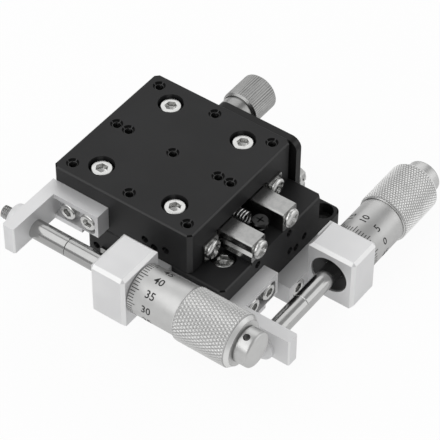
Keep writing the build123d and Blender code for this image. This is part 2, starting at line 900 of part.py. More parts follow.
def unit_nodes(unit):
    """Every piece of one unit apart from the plates, as (node, place, solids)."""
    carrier, slider, half_way = unit["carrier"], unit["slider"], unit["half way"]
    reach = half + rail_proud
    return [
        ("inner_rails", carrier, inner_rails()),
        ("inner_rail_screws", carrier, inner_rail_screws(unit)),
        ("inner_rail_end_screws", carrier, end_screws(inner_centre, half)),
        ("spring_post", carrier, [spring_post()]),
        ("return_spring", carrier, [return_spring()]),
        ("micrometer_holder", carrier, [micrometer_holder(unit)]),
        ("holder_screws", carrier, holder_screws(unit)),
        ("barrel_set_screw", carrier, [barrel_set_screw(unit)]),
        ("barrel", carrier, [on_axis(unit, barrel())]),
        ("adjusting_nut", carrier, [on_axis(unit, adjusting_nut())]),
        ("bore_ring", carrier, [on_axis(unit, bore_ring())]),
        ("lock_plate", carrier, [lock_plate()]),
        ("lock_plate_screws", carrier, lock_plate_screws()),
        ("roller_cages", half_way, roller_cages()),
        ("rollers", half_way, rollers()),
        ("spindle", carrier, [on_axis(unit, spindle())]),
        ("thimble", carrier, [on_axis(unit, thimble())]),
        ("thimble_grip", carrier, [on_axis(unit, thimble_grip())]),
        ("thimble_cap", carrier, [on_axis(unit, thimble_cap())]),
        ("outer_rails", slider, outer_rails()),
        ("outer_rail_screws", slider, outer_rail_screws()),
        ("outer_rail_end_screws", slider, end_screws(outer_centre, reach)),
        ("spring_anchor", slider, [spring_anchor()]),
        ("push_bracket", slider, [push_bracket()]),
        ("bracket_screws", slider, bracket_screws()),
        ("anvil_pin", slider, [anvil_pin(unit)]),
        ("anvil_lock_nut", slider, [anvil_lock_nut()]),
        ("lock_knob", slider, [lock_knob()]),
    ]


def write(node, solids):
    """One file for each node; a group of loose solids is kept as a compound."""
    if len(solids) == 1:
        shape = solids[0]
    else:
        shape = Compound(children=list(solids))
    export_step(shape, f"parts/{node}.step")


os.makedirs("parts", exist_ok=True)
write("base_plate", [base_plate()])
write("middle_plate", [middle_plate()])
write("table_plate", [table_plate()])
for unit in (lower, upper):
    for node, place, solids in unit_nodes(unit):
        write(f"{node}_{unit['name']}", [place * solid for solid in solids])
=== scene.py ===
# %% [markdown]
# This lesson dresses a two-axis linear stage: a black table that slides on crossed
# rollers over a second, crossed slide, each moved by a micrometer head. The
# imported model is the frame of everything, so each new piece is placed by the box
# of the node that it stands for, and nothing is measured twice.

# %% Load the frame
import json
import math
from functools import partialmethod
import bmesh
import bpy
import numpy as np
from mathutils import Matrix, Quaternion, Vector

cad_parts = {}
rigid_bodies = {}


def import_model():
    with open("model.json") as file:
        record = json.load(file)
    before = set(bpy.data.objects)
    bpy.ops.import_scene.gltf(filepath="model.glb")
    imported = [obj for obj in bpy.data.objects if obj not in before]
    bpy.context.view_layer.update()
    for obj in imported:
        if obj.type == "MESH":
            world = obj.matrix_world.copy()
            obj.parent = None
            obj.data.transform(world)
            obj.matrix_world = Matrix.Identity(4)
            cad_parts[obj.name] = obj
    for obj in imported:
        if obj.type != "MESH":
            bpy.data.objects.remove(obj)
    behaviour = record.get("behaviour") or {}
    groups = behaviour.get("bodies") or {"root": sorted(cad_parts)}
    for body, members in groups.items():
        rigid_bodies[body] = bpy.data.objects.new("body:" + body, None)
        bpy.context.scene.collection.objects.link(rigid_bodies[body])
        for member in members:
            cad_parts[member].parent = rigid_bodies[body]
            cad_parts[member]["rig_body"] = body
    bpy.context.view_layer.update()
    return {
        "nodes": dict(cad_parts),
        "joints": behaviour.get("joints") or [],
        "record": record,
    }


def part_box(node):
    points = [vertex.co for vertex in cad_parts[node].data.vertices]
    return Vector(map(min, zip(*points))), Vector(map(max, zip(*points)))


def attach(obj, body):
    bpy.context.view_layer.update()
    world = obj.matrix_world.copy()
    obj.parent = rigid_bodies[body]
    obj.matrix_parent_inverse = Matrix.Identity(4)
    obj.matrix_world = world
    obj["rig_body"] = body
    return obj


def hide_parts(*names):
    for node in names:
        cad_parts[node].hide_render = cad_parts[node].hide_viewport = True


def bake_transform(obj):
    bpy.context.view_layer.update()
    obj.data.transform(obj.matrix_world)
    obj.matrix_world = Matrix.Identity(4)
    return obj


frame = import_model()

MM = 0.001
nodes = frame["nodes"]

# %% [markdown]
# Lengths are easier to read in millimetres, the unit of a machinist's drawing.
# Blender works in metres, so a mesh is scaled once, when it is made. The stage is
# two like units, x above and y below, and each has its own directions.

# %% Read the boxes
def box(node):
    """The lowest and the highest corner of a node at rest, in millimetres."""
    low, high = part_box(node)
    return np.array(low) / MM, np.array(high) / MM


def middle(node):
    """The middle of a node's box, in millimetres."""
    low, high = box(node)
    return (low + high) / 2


def stretch(node, way):
    """Where a node's box starts and ends in a direction, in millimetres."""
    return sorted(corner @ way for corner in box(node))


def slid(point, way, level):
    """The point, moved in a direction until it stands at a level of it."""
    return point + way * (level - point @ way)


TRAVEL = {"x": np.array([1.0, 0, 0]), "y": np.array([0, 1.0, 0])}
ACROSS = {"x": np.array([0, 1.0, 0]), "y": np.array([-1.0, 0, 0])}
UP = np.array([0, 0, 1.0])
CARRIER = {"x": "middle", "y": "base"}
units = ("x", "y")
print("table box in mm:", *box("table_plate"))

# %% [markdown]
# Every new piece is a surface: a grid of points, one direction along a profile
# and the other round it. The same few lines turn any such grid into a mesh. Both
# ends of a closed form shrink to a point, and the points that fall together there
# are merged, so that the skin has no hole at its poles.

# %% Turn grids into meshes
def grid_faces(rows, columns):
    """The four-cornered faces of a grid whose last column meets its first one."""
    row, column = np.meshgrid(np.arange(rows - 1), np.arange(columns), indexing="ij")
    following = (column + 1) % columns
    corners = (row * columns + column, row * columns + following,
               (row + 1) * columns + following, (row + 1) * columns + column)
    return np.stack(corners, axis=-1).reshape(-1, 4)


def merged(parts):
    """One list of points and one of faces from several pairs of such lists."""
    points, faces, first = [], [], 0
    for spots, corners in parts:
        points.append(spots)
        faces += (corners + first).tolist()
        first += len(spots)
    return np.concatenate(points), faces


def join_grids(grids):
    """Points and faces of several grids of shape (rows, columns, 3)."""
    return merged([(grid.reshape(-1, 3), grid_faces(*grid.shape[:2])) for grid in grids])


def polar(radius, angle, height):
    """Points round the z axis, from any shapes of radius, angle and height that fit together."""
    parts = np.broadcast_arrays(radius * np.cos(angle), radius * np.sin(angle), height)
    return np.stack(parts, axis=-1)


def columns_of(rows):
    """The columns of a table, each standing upright."""
    return (np.array(column)[:, None] for column in zip(*rows))


def lathe(profile, count):
    """Each (radius, height) of a profile, carried round the z axis."""
    radius, height = columns_of(profile)
    return polar(radius, circle(count)[None, :], height)


def shown(name, data):
    """A new object in the scene."""
    piece = bpy.data.objects.new(name, data)
    bpy.context.scene.collection.objects.link(piece)
    return piece


def skin(name, points, faces, sharp=35.0):
    """A mesh object from points in millimetres, with its poles closed and its faces outwards."""
    mesh = bpy.data.meshes.new(name)
    mesh.from_pydata((points * MM).tolist(), [], faces)
    shell = bmesh.new()
    shell.from_mesh(mesh)
    bmesh.ops.remove_doubles(shell, verts=shell.verts, dist=1e-7)
    bmesh.ops.recalc_face_normals(shell, faces=shell.faces)
    shell.to_mesh(mesh)
    shell.free()
    mesh.shade_smooth()
    mesh.set_sharp_from_angle(angle=math.radians(sharp))
    return shown(name, mesh)


def circle(count):
    """Evenly spaced angles of one turn."""
    return np.arange(count) * 2 * np.pi / count


def stand(local, at, axis, side):
    """Puts local points in place: local z along axis, local x along side."""
    other = np.cross(axis, side)
    return at + local[..., :1] * side + local[..., 1:2] * other + local[..., 2:] * axis

# %% [markdown]
# The camera is that of the photograph: a long lens, looking down at 45 degrees
# over the corner between the two micrometers, rolled by half a degree.

# %% Set the camera
camera_place = Vector((341.07, -476.95, 605.87)) * MM
camera_target = Vector((4.295, -10.602, 20.0)) * MM
camera_roll = math.radians(0.55)
camera = shown("camera", bpy.data.cameras.new("camera"))
camera.data.lens = 188.18
camera.data.sensor_width = 36.0
camera.data.clip_start = 0.05
camera.data.clip_end = 20.0
camera.location = camera_place
camera.rotation_mode = "QUATERNION"
aim = (camera_target - camera_place).to_track_quat("-Z", "Y")
camera.rotation_quaternion = aim @ Quaternion((0, 0, 1), camera_roll)
bpy.context.scene.camera = camera
print("camera to target in mm:", round((camera_target - camera_place).length / MM, 1))

# %% [markdown]
# A material is arithmetic on the place of a point. Written as Python expressions
# it reads like the arithmetic it is: a small class holds a socket, and an
# operator between two of them adds the Math node that does the sum.

# %% Write shader maths as expressions
class Term:
    """A shader value that takes part in Python arithmetic."""

    def __init__(self, graph, socket):
        self.graph = graph
        self.socket = socket

    def math(self, operation, *others):
        sockets = dict(enumerate((self,) + others))
        return self.graph.add("ShaderNodeMath", {"operation": operation}, sockets)

    __add__ = __radd__ = partialmethod(math, "ADD")
    __mul__ = __rmul__ = partialmethod(math, "MULTIPLY")
    __abs__ = partialmethod(math, "ABSOLUTE")
    up_to = partialmethod(math, "MINIMUM")
    at_least = partialmethod(math, "MAXIMUM")

    def __rsub__(self, other):
        return self.graph.add("ShaderNodeMath", {"operation": "SUBTRACT"}, {0: other, 1: self})

    def within(self, low, high):
        """0 below low, 1 above high, a smooth step between."""
        settings = {"interpolation_type": "SMOOTHSTEP", "clamp": True}
        sockets = {"Value": self, "From Min": low, "From Max": high}
        return self.graph.add("ShaderNodeMapRange", settings, sockets)


class Graph:
    """The shader nodes of one material or of the world, and a method that adds any node."""

    def __init__(self, owner):
        owner.use_nodes = True
        self.tree = owner.node_tree

    def found(self, kind):
        return next(n for n in self.tree.nodes if n.type == kind)

    def put(self, node, sockets):
        """Feeds a node's sockets with values, or with what other nodes give."""
        for key, value in sockets.items():
            socket = node.inputs[key]
            if isinstance(value, Term):
                self.tree.links.new(value.socket, socket)
            else:
                socket.default_value = (*value, 1) if socket.type == "RGBA" else value

    def add(self, kind, settings, sockets, out=0):
        node = self.tree.nodes.new(kind)
        for key, value in settings.items():
            setattr(node, key, value)
        self.put(node, sockets)
        return Term(self, node.outputs[out])

    def rays(self, *kinds):
        """For each kind of ray, a value that is 1 where such a ray looks."""
        node = self.tree.nodes.new("ShaderNodeLightPath")
        return [Term(self, node.outputs[f"Is {kind} Ray"]) for kind in kinds]


class Finish(Graph):
    """One material: a Principled shader and what feeds it."""

    def __init__(self, name, colour, metallic, roughness, **fixed):
        self.material = bpy.data.materials.new(name)
        super().__init__(self.material)
        self.shader = self.found("BSDF_PRINCIPLED")
        self.wear(Base_Color=colour, Metallic=metallic, Roughness=roughness, **fixed)

    def place(self, kind="Object"):
        """The object's own coordinates in metres; "Normal" gives the surface's direction in them."""
        return self.add("ShaderNodeTexCoord", {}, {}, kind)

    def parts(self, vector):
        node = self.add("ShaderNodeSeparateXYZ", {}, {0: vector}).socket.node
        return [Term(self, socket) for socket in node.outputs]

    def noise(self, vector, per_mm, detail, rough=0.5):
        sockets = {"Vector": vector, "Scale": per_mm / MM, "Detail": detail, "Roughness": rough}
        return self.add("ShaderNodeTexNoise", {}, sockets)

    def blend(self, factor, first, second):
        """A colour between two colours; sockets 6, 7 and 2 are the Mix node's own for colours."""
        return self.add("ShaderNodeMix", {"data_type": "RGBA"}, {0: factor, 6: first, 7: second}, 2)

    def relief(self, height, depth_mm):
        """A bump whose full height is depth_mm."""
        sockets = {"Height": height, "Distance": depth_mm * MM, "Strength": 1.0}
        self.wear(Normal=self.add("ShaderNodeBump", {}, sockets))

    def wear(self, **sockets):
        """Feeds the shader's own sockets."""
        self.put(self.shader, {key.replace("_", " "): value for key, value in sockets.items()})

# %% [markdown]
# The plates are black anodised aluminium. The real finish is bead blasted first,
# which leaves a fine grain, and then dyed. The bevels are painted a little
# greyer, a painted highlight where a chamfer catches the light. A bevel faces two
# ways at once, so the surface's direction finds it: its largest part is near
# 0.71. A countersink's cone faces that way too, but seldom with a part of zero.
# It is painted dark and dull, as painted shade, because little light finds its
# way out of a hole.

# %% Finish the black plates
COUNTERSINK_BLACK = (0.001, 0.001, 0.001)


def grain(finish, depth_mm, per_mm):
    """Bead-blasted grain, and broad soft clouds that go with it."""
    place = finish.place()
    fine = finish.noise(place, per_mm, 3.0, 0.6)
    clouds = finish.noise(place, 0.06, 2.0)
    finish.relief(fine, depth_mm)
    return fine, clouds


def bevel_masks(finish):
    """1 on flat faces that lean halfway between two axes, and 1 on most of a cone; else 0."""
    x, y, z = finish.parts(finish.place("Normal"))
    largest = abs(x).at_least(abs(y)).at_least(abs(z))
    smallest = abs(x).up_to(abs(y)).up_to(abs(z))
    leaning, on_cone = 1 - largest.within(0.75, 0.9), smallest.within(0.03, 0.12)
    return leaning * (1 - on_cone), leaning * on_cone


def black_anodised(name, colour, painted_bevel_highlight):
    """Dyed oxide with cloudy grain, a painted highlight on the bevels and painted shade in the countersinks.
    """
    finish = Finish(name, colour, 0.0, 0.5, Specular_IOR_Level=0.24)
    fine, clouds = grain(finish, 0.012, 5.0)
    lit = tuple(1.18 * c for c in colour)
    body = finish.blend(clouds.within(0.35, 0.65), colour, lit)
    bevel, countersink = bevel_masks(finish)
    # The bevels take the lighter colour: a painted highlight.
    plate = finish.blend(bevel, body, painted_bevel_highlight)
    rough = (0.42 + 0.16 * fine).at_least(countersink * 0.95)
    finish.wear(Base_Color=finish.blend(countersink, plate, COUNTERSINK_BLACK), Roughness=rough)
    return finish.material


# The last colour of each is the painted highlight on its bevels.
black = black_anodised("black anodised", (0.0135, 0.0135, 0.014), (0.045, 0.045, 0.0455))
black_paint = black_anodised("black lock plate", (0.008, 0.008, 0.008), (0.03, 0.03, 0.03))
print("made", black.name, "and", black_paint.name)

# %% [markdown]
# The brackets and the micrometer blocks are bead-blasted and clear anodised. The
# oxide is a thin glassy skin on metal, so it is bright but never a mirror.

# %% Finish the silver blocks
def silver_anodised():
    """Bright oxide on bead-blasted metal, with a painted highlight on the bevels."""
    finish = Finish("silver anodised", (0.77, 0.77, 0.775), 0.55, 0.5)
    fine, clouds = grain(finish, 0.010, 6.0)
    colour = finish.blend(clouds.within(0.3, 0.7), (0.74, 0.74, 0.745), (0.79, 0.79, 0.795))
    # The bevels are painted lighter: a painted highlight.
    colour = finish.blend(bevel_masks(finish)[0], colour, (0.9, 0.9, 0.9))
    finish.wear(Base_Color=colour, Roughness=0.46 + 0.12 * fine)
    return finish.material


silver = silver_anodised()
print("made", silver.name)

# %% [markdown]
# Turned parts carry fine rings from the lathe or the grinding wheel. Along the
# part's axis the noise is fine, round it there is none, because it reads only
# the distance along the axis. Both axes of the stage are covered by one rule: the
# noise is fed the place with the two other directions squeezed. The knurled grips
# take their tone from the distance to their axis: crests lighter, grooves darker
# as painted shade, and the bevel ring lighter as a painted highlight.

# %% Finish turned metal
SQUEEZE = 0.004


def turned_metal(name, colour, roughness, unit, ring_depth, rings_per_mm=7.0):
    """Metal with rings round the unit's axis."""
    finish = Finish(name, colour, 1.0, roughness)
    squeezed = tuple(float(v) for v in TRAVEL[unit] + SQUEEZE * (1 - TRAVEL[unit]))
    along = finish.add("ShaderNodeMapping", {}, {"Vector": finish.place(), "Scale": squeezed})
    rings = finish.noise(along, rings_per_mm, 3.0, 0.7)
    clouds = finish.noise(finish.place(), 0.25, 2.0)
    if ring_depth:
        finish.relief(rings, ring_depth)
    cloudy = finish.blend(clouds.within(0.3, 0.7), tuple(0.95 * c for c in colour), colour)
    finish.wear(Base_Color=cloudy, Roughness=roughness * (0.8 + 0.4 * rings))
    return finish.material


# The two units take different colour levels of the same finishes, set to the brightness each shows where the
# light falls: lit and shaded copies, painted light.
SATIN = {"x": (0.61, 0.5), "y": (0.53, 0.42)}
GROUND_LEVEL = {"x": 0.40, "y": 0.455}
# Each is (crest colour, groove colour that is painted shade, roughness).
ROLLED = {"x": (0.66, 0.44, 0.42), "y": (0.88, 0.36, 0.34)}
GRIP_RADIUS, KNURL_DEPTH, PAINTED_BEVEL_HIGHLIGHT, CREST_BAND = 10.15, 0.34, 0.78, 0.06


def grey(level):
    """A neutral metal colour, a trace warmer than grey."""
    return (level, level, 0.99 * level)


def knurled_metal(u):
    """Rolled metal: lighter crests, grooves darker as painted shade, a painted highlight on the bevel."""
    crest, groove, rough = ROLLED[u]
    finish = Finish(f"knurled chrome {u}", grey(crest), 1.0, rough)
    place = finish.place()
    ends = {0: place, 1: tuple(middle(f"thimble_grip_{u}") * MM)}
    offset = finish.parts(finish.add("ShaderNodeVectorMath", {"operation": "SUBTRACT"}, ends))
    side, up = offset[1 if u == "x" else 0], offset[2]
    radius = (side * side + up * up).math("POWER", 0.5)
    floor_radius = GRIP_RADIUS - KNURL_DEPTH
    height = radius.within(floor_radius * MM, (GRIP_RADIUS - CREST_BAND) * MM)
    bevel = radius.within((floor_radius - 0.03) * MM, (floor_radius - 0.1) * MM)
    # The grooves take the darker colour as painted shade, the crests the lighter one.
    knurl = finish.blend(height, grey(groove), grey(crest))
    # The bevel ring takes a lighter grey: a painted highlight.
    finish.wear(Base_Color=finish.blend(bevel, knurl, grey(PAINTED_BEVEL_HIGHLIGHT)))
    finish.wear(Roughness=rough * (0.85 + 0.3 * finish.noise(place, 4.0, 3.0)))
    return finish.material


satin, mirror, rolled, bright_turned = {}, {}, {}, {}
for u in units:
    level, rough = SATIN[u]
    satin[u] = turned_metal(f"satin chrome {u}", grey(level), rough, u, 0.0012)
    mirror[u] = turned_metal(f"ground spindle {u}", grey(GROUND_LEVEL[u]), 0.17, u, 0)
    rolled[u] = knurled_metal(u)
    bright_turned[u] = turned_metal(f"turned cap {u}", grey(0.57), 0.38, u, 0.0008)
print("made turned finishes for the units", *satin)

# %% [markdown]
# The ground rails, the nickelled screws, the spring wire and the rollers are all
# bright steel. They differ in colour, in how rough they are and in how fine and
# deep a grain their making leaves, so one function makes them all. Oxide and
# enamel come from it too, without the metal's shine.

# %% Finish the steel parts
def bright_steel(name, colour, roughness, per_mm, depth_mm, metallic=1.0):
    """Metal with a fine grain in its relief and roughness, and faint stains."""
    finish = Finish(name, colour, metallic, roughness)
    place = finish.place()
    fine = finish.noise(place, per_mm, 4.0, 0.65)
    stains = finish.noise(place, 0.5, 3.0)
    finish.relief(fine, depth_mm)
    stained = finish.blend(stains.within(0.35, 0.7), colour, tuple(0.9 * c for c in colour))
    finish.wear(Base_Color=stained, Roughness=roughness * (0.75 + 0.5 * fine))
    return finish.material


ground = bright_steel("ground rail steel", (0.36, 0.36, 0.355), 0.24, 4.0, 0.0012)
lapped = bright_steel("lapped rollers", (0.6, 0.6, 0.6), 0.12, 3.0, 0.0005)
strip = bright_steel("cage strip", (0.42, 0.42, 0.41), 0.35, 5.0, 0.002)
nickel = bright_steel("nickelled screws", (0.64, 0.64, 0.63), 0.26, 2.5, 0.0004)
blackened = bright_steel("blackened screw", (0.03, 0.03, 0.03), 0.2, 3.0, 0.0006)
knob_metal = bright_steel("nickelled knob", (0.33, 0.33, 0.325), 0.3, 2.0, 0.0004)
wire = bright_steel("spring wire", (0.66, 0.66, 0.66), 0.2, 3.0, 0.0008)
oxide = bright_steel("black oxide", (0.02, 0.02, 0.02), 0.5, 4.0, 0.002, 0.0)
enamel = bright_steel("black filled engraving", (0.012, 0.012, 0.012), 0.6, 6.0, 0.001, 0.0)
tapped = bright_steel("bare thread", (0.07, 0.07, 0.07), 0.3, 5.0, 0.001)
print("materials:", len(bpy.data.materials))

# %% [markdown]
# Each carried-over node takes its finish from the slot that the record gives it.
# The turned pieces also need to know which way their unit runs.

# %% Dress the nodes that keep their shape
by_slot = {
    "black_anodised": black, "black_lock_plate": black_paint, "silver_anodised": silver,
    "ground_steel": ground, "roller_steel": lapped, "cage_steel": strip, "screw_steel": nickel,
    "nickel_plated": knob_metal, "spring_wire": wire, "black_oxide": oxide,
    "satin_chrome": satin, "polished_steel": mirror,
}
slots = {part["node"]: part["material_slot"] for part in frame["record"]["subparts"]}


def finish_of(node):
    """The material of a node's slot, for turned pieces that of their unit."""
    if node.startswith("spring_"):
        return blackened
    finish = rolled if node.startswith("thimble_grip") else by_slot[slots[node]]
    return finish[node[-1]] if isinstance(finish, dict) else finish


for name, piece in nodes.items():
    for holder in piece.material_slots:
        holder.material = finish_of(name)


def settle(piece, node, body=None, material=None):
    """The new piece stands for a node: it hides it, rides on its body and takes its finish."""
    piece.data.materials.append(material or finish_of(node))
    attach(piece, body or nodes[node]["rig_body"])
    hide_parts(node)
    print(piece.name, "stands for", node, "with", len(piece.data.polygons), "faces")
    return piece


print("dressed", len(nodes), "nodes")

# %% [markdown]
# A screw head is a stack of rings. The lowest rings, at the bottom of the socket,
# are hexagons or crosses, the outer ones are circles, and each ring is a blend of
# the two outlines. Both outlines can be seen whole from the centre, so a radius
# for each angle describes them.

# %% Make screws from rings
def hexagon(angle):
    """Radius of a hexagon with inner radius 1: one over the cosine, repeated six times."""
    return 1 / np.cos((angle + np.pi / 6) % (np.pi / 3) - np.pi / 6)


def cross(angle, width=0.34):
    """Radius of a cross with arms of length 1: its end, or its side where that is nearer."""
    near = np.abs((angle + np.pi / 4) % (np.pi / 2) - np.pi / 4)
    side = width / np.maximum(np.sin(near), 1e-6)
    return np.minimum(1 / np.cos(near), side)


def ring_stack(rings, outline, count=72):
    """Rows of points: radius times outline(angle) or 1, mixed by each ring's share."""
    angle = circle(count)[None, :]
    radius, height, share = columns_of(rings)
    return polar(radius * (share * outline(angle) + 1 - share), angle, height)


def socket_rings(radius, height, shank, length, bevel=0.35):
    """A cap screw from the floor of its hexagon socket to the tip of its shank."""
    key = 0.5 * radius
    deep = 0.6 * height
    return [
        (0, height - deep - 0.12 * radius, 1), (0.92 * key, height - deep, 1),
        (key, height - deep + 0.1, 1), (key, height - 0.08, 1),
        (key + 0.08, height, 1), (radius - bevel - 0.12, height, 0),
        (radius - bevel, height - 0.03, 0), (radius - 0.1, height - bevel + 0.08, 0),
        (radius, height - bevel - 0.05, 0), (radius, 0.12, 0), (radius - 0.12, 0, 0),
        (shank, 0, 0), (shank, -length + 0.3, 0), (shank - 0.3, -length, 0), (0, -length, 0),
    ]


def pan_rings(radius, height, shank, length):
    """A crosshead screw: a tapering cross, then a domed head that falls away to its rim."""
    dome = np.linspace(0.62, 1, 7)
    fall = height * (0.42 + 0.58 * np.sqrt(1 - ((dome - 0.55) / 0.46) ** 2))
    cap = [(radius * s, h, 0) for s, h in zip(dome, fall)]
    arm = 0.56 * radius
    recess = [
        (0, 0.05 * height, 1), (0.45 * arm, 0.18 * height, 1), (arm, 0.8 * height, 1),
        (arm * 1.03, height, 1), (arm * 1.08, height, 0.85),
    ]
    return recess + cap + [
        (radius, 0.2 * height, 0), (radius * 0.97, 0, 0),
        (shank, 0, 0), (shank, -length, 0), (0, -length, 0),
    ]


SCREW_TURN = math.radians(28.9)


def screw_set(name, node, places, axis, side, rings, outline):
    """Identical screws at several places, each turned a little further than the last."""
    stack = ring_stack(rings, outline)
    grids = []
    for index, place in enumerate(places):
        ahead = Quaternion(axis, SCREW_TURN * (index + 1)) @ Vector(side)
        grids.append(stand(stack, np.array(place), axis, np.array(ahead)))
    settle(skin(name, *join_grids(grids)), node)

# %% [markdown]
# The places of the screws are read from the box of each screw node: identical
# screws stand in its corners, so half a head in from each corner is an axis.

# %% Place the table and slider screws
def spread(low, high, radius):
    """The two middles of round things that just fill a stretch from low to high."""
    return (low + radius, high - radius)


CAP_RADIUS, CAP_NODE_HEIGHT, CAP_HEIGHT, CAP_SHANK = 4.0, 4.4, 3.9, 2.0
for u in units:
    low, high = box(f"outer_rail_screws_{u}")
    seat = high[2] - CAP_NODE_HEIGHT
    across, deep = (spread(low[i], high[i], CAP_RADIUS) for i in (0, 1))
    spots = [(x, y, seat) for x in across for y in deep]
    rings = socket_rings(CAP_RADIUS, CAP_HEIGHT, CAP_SHANK, seat - low[2])
    screw_set(f"cap_screws_{u}", f"outer_rail_screws_{u}", spots, UP, TRAVEL[u], rings, hexagon)
    print("cap screws", u, "at", np.round(spots, 2).tolist())

# %% [markdown]
# A broad crosshead screw stops each rail's end, so that the roller cages can't
# creep out. Each is left at its own angle, as a hand leaves them.

# %% Place the crosshead screws in the rail ends
END_RADIUS, END_HEIGHT, END_SHANK, END_LENGTH = 3.7, 1.9, 1.5, 6.0
stack = ring_stack(pan_rings(END_RADIUS, END_HEIGHT, END_SHANK, END_LENGTH), cross)
for u in units:
    for kind in ("inner", "outer"):
        node = f"{kind}_rail_end_screws_{u}"
        seats = spread(*stretch(node, TRAVEL[u]), END_HEIGHT)
        levels = spread(*stretch(node, ACROSS[u]), END_RADIUS)
        grids = []
        for way, seat in zip((-1, 1), seats):
            for index, level in enumerate(levels):
                angle = 0.5 + 1.3 * index + 0.4 * way + (kind == "outer")
                side = np.cos(angle) * ACROSS[u] + np.sin(angle) * UP
                spot = slid(slid(middle(node), TRAVEL[u], seat), ACROSS[u], level)
                grids.append(stand(stack, spot, way * TRAVEL[u], side))
        settle(skin(f"rail_end_screws_{kind}_{u}", *join_grids(grids)), node)

# %% [markdown]
# Two screws in a row hold each bracket, holder and lock plate. Three numbers name
# a screw: its head's radius and height and its shank's radius.

# %% Place the bracket, holder and lock plate screws
BRACKET_SCREW, LOCK_SCREW, HEAD_LIFT = (3.3, 2.6, 2.0), (3.5, 2.4, 1.5), 0.5
HOLDER_SCREW = {"x": (2.75, 3.0, 1.5), "y": (3.5, 4.0, 2.0)}
SOCKET, PAN = (socket_rings, hexagon), (pan_rings, cross)


def side_screws(name, node, axis, size, kind, lift=0.0):
    """Two screws on a side face, in a row along the travel; lift makes the heads taller."""
    radius, height, shank = size
    rings_of, outline = kind
    travel = TRAVEL[node[-1]]
    tip, top = stretch(node, axis)
    seat = slid(middle(node), axis, top - height)
    spots = [slid(seat, travel, level) for level in spread(*stretch(node, travel), radius)]
    rings = rings_of(radius, height + lift, shank, top - tip - height)
    screw_set(name, node, spots, axis, UP, rings, outline)


for u in units:
    outwards = -ACROSS[u]
    side_screws(f"push_bracket_screws_{u}", f"bracket_screws_{u}", outwards, BRACKET_SCREW, SOCKET, HEAD_LIFT)
    side_screws(f"lock_screws_{u}", f"lock_plate_screws_{u}", ACROSS[u], LOCK_SCREW, PAN)
for u in units:
    side_screws(f"holder_bolts_{u}", f"holder_screws_{u}", -ACROSS[u], HOLDER_SCREW[u], SOCKET)

# %% [markdown]
# The micrometer's thimble is a turned drum: a profile of (distance along the
# axis, radius) carried round it. Its own frame starts at the drum's front face,
# and every other piece of the head is drawn in that frame too.

# %% Draw on a micrometer's axis
joints = {joint["name"]: joint for joint in frame["joints"]}


class Head:
    """The frame of one micrometer head: its axis, and the thimble's two ends."""

    def __init__(self, u):
        self.u = u
        self.along = TRAVEL[u]
        self.across = ACROSS[u]
        self.front, self.rear = stretch(f"thimble_{u}", self.along)
        self.length = self.rear - self.front
        axis = np.array(joints[f"thimble_turn_{u}"]["pos_m"]) / MM
        self.origin = slid(axis, self.along, self.front)

    def behind(self, node):
        """Where another node of the head starts and ends, measured from the front face."""
        return [level - self.front for level in stretch(node, self.along)]

    def place(self, along, radius, angle):
        """Points at a distance behind the front face; angles run from the top to the outer side."""
        parts = np.broadcast_arrays(along, -radius * np.sin(angle), radius * np.cos(angle))
        along, outer, height = (part[..., None] for part in parts)
        return self.origin + along * self.along + outer * self.across + height * UP

    def turned(self, profile, count=128):
        """Each (distance, radius) of a profile, carried round the head's axis."""
        along, radius = columns_of(profile)
        return self.place(along, radius, circle(count)[None, :])


heads = {u: Head(u) for u in units}
for u, head in heads.items():
    print(u, "thimble from", round(head.front, 2), "to", round(head.rear, 2))

# %% [markdown]
# The drum is smooth where the scale is and stepped down where the grip is pushed
# on. Its front edge is rounded, so that it catches the light as a thin line.

# %% Make the thimbles
THIMBLE_RADIUS, THIMBLE_BORE, SMOOTH, SEAT_RADIUS = 9.25, 7.8, 19.3, 8.6
REAR_WALL, REAR_HOLE = 2.0, 2.55


def thimble_profile(length):
    """(distance, radius) round the drum's section, from its bore and back to it."""
    wall = length - REAR_WALL
    return [
        (0, THIMBLE_BORE), (0, THIMBLE_RADIUS - 0.35), (0.12, THIMBLE_RADIUS - 0.12),
        (0.35, THIMBLE_RADIUS), (SMOOTH - 0.15, THIMBLE_RADIUS), (SMOOTH, THIMBLE_RADIUS - 0.15),
        (SMOOTH, SEAT_RADIUS), (length, SEAT_RADIUS), (length, REAR_HOLE), (wall, REAR_HOLE),
        (wall, THIMBLE_BORE), (0, THIMBLE_BORE),
    ]


for u, head in heads.items():
    drum = head.turned(thimble_profile(head.length))
    settle(skin(f"thimble_drum_{u}", *join_grids([drum])), f"thimble_{u}")

# %% [markdown]
# The grip is rolled between two cutters whose teeth run in opposite spirals,
# which raises a diamond knurl. The height of the surface is the smaller of two
# triangle waves, one of angle plus distance and one of angle minus distance.

# %% Roll the diamond knurl
GRIP_BORE, DIAMONDS, HELIX = 8.65, {"x": 46, "y": 56}, math.radians(30)
GRIP_START, GRIP_FRONT, GRIP_REAR = SMOOTH + 0.05, 0.35, 1.5
STEEPNESS, FADE_IN, FADE_OUT = 1.6, 0.5, 0.4


def triangle(t):
    """A wave that climbs from 0 to 1 and back once in each unit."""
    return 1 - np.abs(2 * (t % 1) - 1)


def knurl_grid(head, length, samples=8, rows_per_diamond=12):
    """Rows along the grip: radius = top - depth (1 - height), height = min(wave, wave, 1) times fade."""
    diamonds = DIAMONDS[head.u]
    columns = diamonds * samples
    lead = 2 * np.pi * GRIP_RADIUS / diamonds / math.tan(HELIX)
    rows = int(length / lead * rows_per_diamond)
    along = np.linspace(0, length, rows)[:, None]
    turn = (np.arange(columns) / columns)[None, :]
    one = triangle(turn * diamonds + along / lead)
    two = triangle(turn * diamonds - along / lead)
    height = np.minimum(np.minimum(one, two) * STEEPNESS, 1)
    fade = np.clip(np.minimum(along / FADE_IN, (length - along) / FADE_OUT), 0, 1)
    radius = GRIP_RADIUS - KNURL_DEPTH * (1 - height * fade)
    return head.place(along + GRIP_START + GRIP_FRONT, radius, turn * 2 * np.pi), columns


